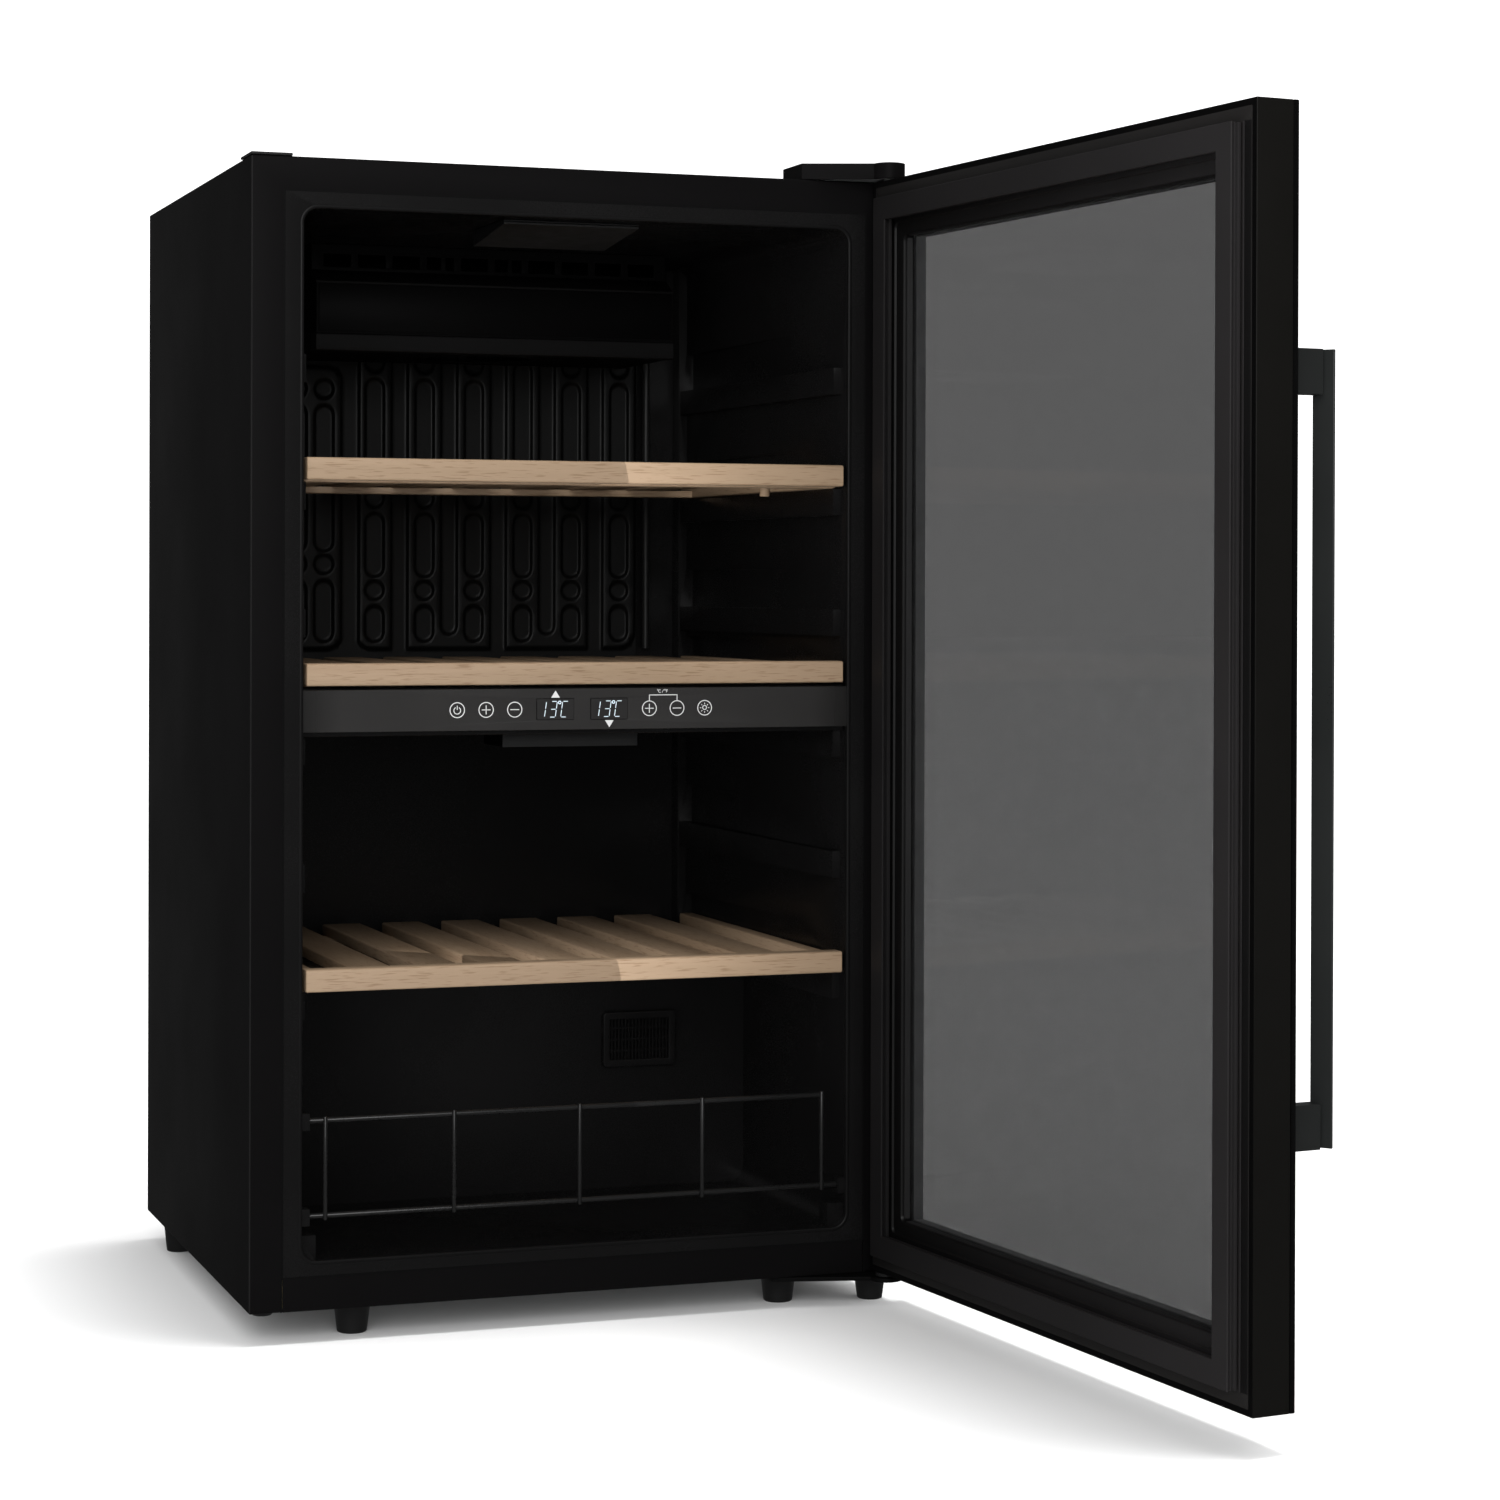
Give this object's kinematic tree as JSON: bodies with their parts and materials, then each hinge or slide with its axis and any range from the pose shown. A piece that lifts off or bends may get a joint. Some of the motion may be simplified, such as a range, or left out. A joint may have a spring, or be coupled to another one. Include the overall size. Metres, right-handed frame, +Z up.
{
  "type": "wine cooler",
  "caption": "Free-standing two-zone wine cooler with a right-hung smoked glass door, three sliding beech shelves, a wire bottle guard and a touch panel.",
  "frame": {"origin": "on the floor under the middle of the whole cooler's box, with the door standing open", "axes": "+X to the right as seen from the front, +Y from the front to the back, +Z up"},
  "size_m": [0.5996, 0.9226, 0.8553],
  "materials": {
    "wrap_steel": "satin black paint on sheet steel",
    "zinc_steel": "zinc-plated sheet steel",
    "liner_plastic": "dark grey vacuum-formed plastic, satin",
    "rigid_foam": null,
    "black_plastic": "moulded black plastic",
    "panel_plastic": "smooth dark grey fascia",
    "display_window": "smoked display window",
    "circuit_board": "green circuit board",
    "light_lens": "frosted clear lens",
    "evaporator_aluminium": "roll-bonded aluminium sheet",
    "machine_paint": "black machine paint",
    "door_metal": "dark painted aluminium",
    "door_plastic": "dark grey moulded frame",
    "gasket_rubber": "soft dark grey magnetic gasket",
    "smoked_glass": "smoked glass",
    "spacer_metal": "mill-finish spacer bar",
    "handle_steel": "dark satin metal",
    "beech": "plain light beech",
    "copper": "bare copper tube",
    "chrome_wire": "chromed wire"
  },
  "bodies": {
    "cabinet": {"base_pan": "zinc_steel", "bay_shroud": "zinc_steel", "bottle_guard": "chrome_wire", "bottom_hinge": "zinc_steel", "bottom_left_plug": "black_plastic", "compressor": "machine_paint", "condenser": "machine_paint", "control_board": "circuit_board", "control_panel": "panel_plastic", "cord_gland": "black_plastic", "discharge_tube": "copper", "drip_tray": "black_plastic", "evaporator_line": "evaporator_aluminium", "evaporator_plate": "evaporator_aluminium", "fan_box": "liner_plastic", "fan_motor": "black_plastic", "filter_drier": "copper", "foam_insulation": "rigid_foam", "front_bottom_rail": "wrap_steel", "front_left_foot": "black_plastic", "front_right_foot": "black_plastic", "hinge_bush": "black_plastic", "hinge_foot": "black_plastic", "inner_liner": "liner_plastic", "lower_display": "display_window", "lower_evaporator": "evaporator_aluminium", "lower_light_housing": "black_plastic", "lower_light_lens": "light_lens", "outer_wrap": "wrap_steel", "rear_left_foot": "black_plastic", "rear_panel": "wrap_steel", "rear_right_foot": "black_plastic", "sensor_cover": "liner_plastic", "suction_tube": "copper", "temperature_sensor": "light_lens", "terminal_box": "black_plastic", "top_hinge": "zinc_steel", "top_hinge_cover": "black_plastic", "top_left_cap": "black_plastic", "upper_display": "display_window", "upper_light_housing": "black_plastic", "upper_light_lens": "light_lens", "zone_divider": "liner_plastic"},
    "door": {"door_frame": "door_metal", "door_inner_frame": "door_plastic", "door_gasket": "gasket_rubber", "front_pane": "smoked_glass", "inner_pane": "smoked_glass", "pane_spacer": "spacer_metal", "handle_bar": "handle_steel", "lower_handle_bracket": "handle_steel", "upper_handle_bracket": "handle_steel"},
    "upper_shelf": {"upper_shelf_rail": "beech", "upper_shelf_frame": "beech"},
    "middle_shelf": {"middle_shelf_rail": "beech", "middle_shelf_frame": "beech"},
    "lower_shelf": {"lower_shelf_rail": "beech", "lower_shelf_frame": "beech"},
    "fan": {"fan_rotor": "black_plastic"}
  },
  "joints": [
    {"name": "door_hinge", "type": "hinge", "parent": "cabinet", "child": "door", "pos_m": [0.18019, 0.01654, 0], "axis": [0, 0, 1], "range_deg": [-96.3, 5]},
    {"name": "upper_shelf_slide", "type": "slide", "parent": "cabinet", "child": "upper_shelf", "axis": [0, -1, 0], "range_m": [0, 0.2]},
    {"name": "middle_shelf_slide", "type": "slide", "parent": "cabinet", "child": "middle_shelf", "axis": [0, -1, 0], "range_m": [0, 0.2]},
    {"name": "lower_shelf_slide", "type": "slide", "parent": "cabinet", "child": "lower_shelf", "axis": [0, -1, 0], "range_m": [0, 0.2]},
    {"name": "fan_spin", "type": "hinge", "parent": "cabinet", "child": "fan", "pos_m": [-0.05381, 0.33254, 0.733], "axis": [0, 0, 1], "continuous": true}
  ]
}
